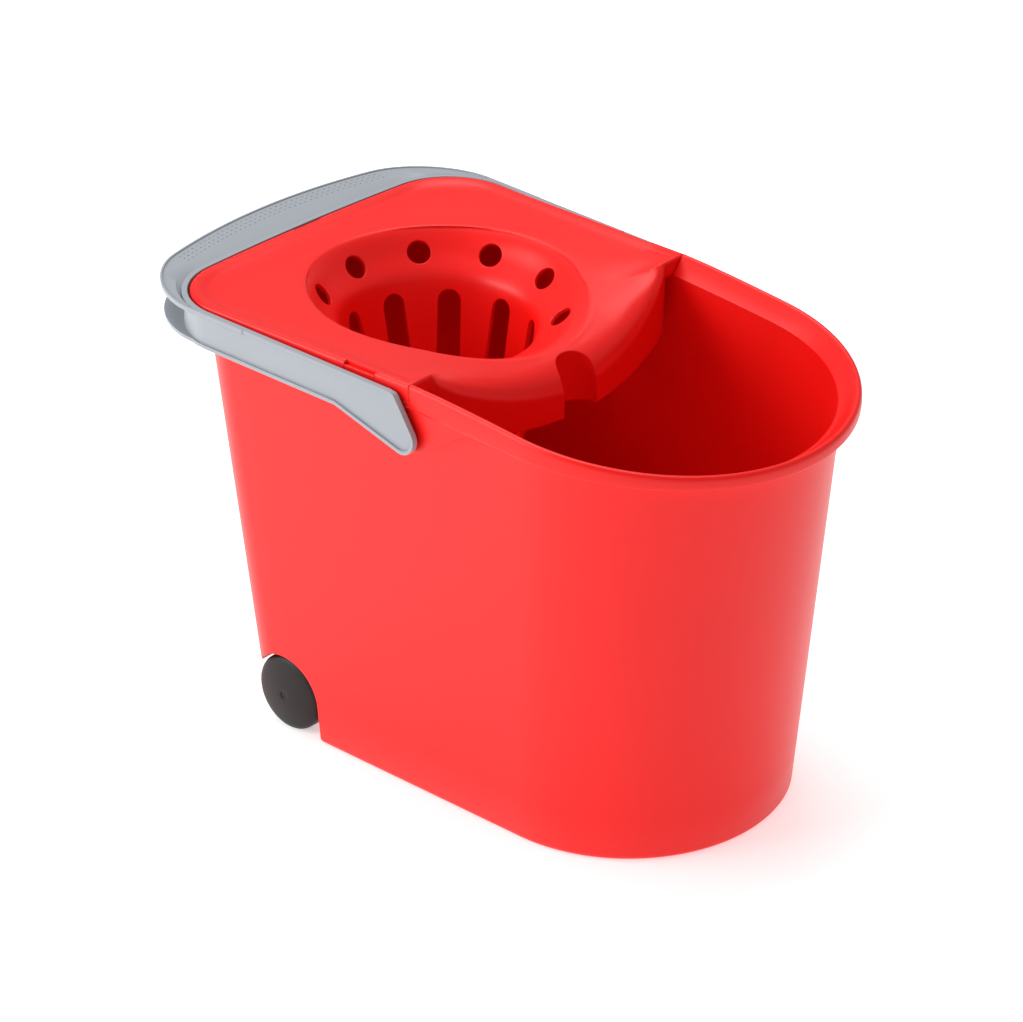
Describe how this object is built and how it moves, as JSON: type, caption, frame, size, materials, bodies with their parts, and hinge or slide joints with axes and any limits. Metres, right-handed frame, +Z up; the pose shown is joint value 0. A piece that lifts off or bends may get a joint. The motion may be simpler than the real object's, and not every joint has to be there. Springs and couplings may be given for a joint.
{
  "type": "wheeled mop bucket with wringer",
  "caption": "Oval-nosed red mop bucket with a lift-out slotted basket wringer in its deck, a grey folding bail handle and wheels under the rear.",
  "frame": {"origin": "centre of the bounding box in plan, on the surface the bucket stands on", "axes": "+X along the bucket towards its round nose, +Y to its left, +Z up"},
  "size_m": [0.4185, 0.2506, 0.273],
  "materials": {
    "red_plastic": "smooth satin moulding",
    "grey_plastic": "smooth satin moulding",
    "black_plastic": "satin moulding",
    "steel": "bright drawn rod"
  },
  "bodies": {
    "bucket": {"bucket_body": "red_plastic", "axle": "steel"},
    "wringer": {"wringer": "red_plastic"},
    "handle": {"handle": "grey_plastic"},
    "left_wheel": {"left_wheel": "black_plastic"},
    "right_wheel": {"right_wheel": "black_plastic"}
  },
  "joints": [
    {"name": "wringer_lift", "type": "slide", "parent": "bucket", "child": "wringer", "axis": [0, 0, 1], "range_m": [0, 0.15]},
    {"name": "handle_swing", "type": "hinge", "parent": "bucket", "child": "handle", "pos_m": [0.0191, 0, 0.2421], "axis": [0, 1, 0], "range_deg": [0, 155]},
    {"name": "left_wheel_spin", "type": "hinge", "parent": "bucket", "child": "left_wheel", "pos_m": [-0.0995, 0.0925, 0.024], "axis": [0, 1, 0], "continuous": true},
    {"name": "right_wheel_spin", "type": "hinge", "parent": "bucket", "child": "right_wheel", "pos_m": [-0.0995, -0.0925, 0.024], "axis": [0, 1, 0], "continuous": true}
  ]
}
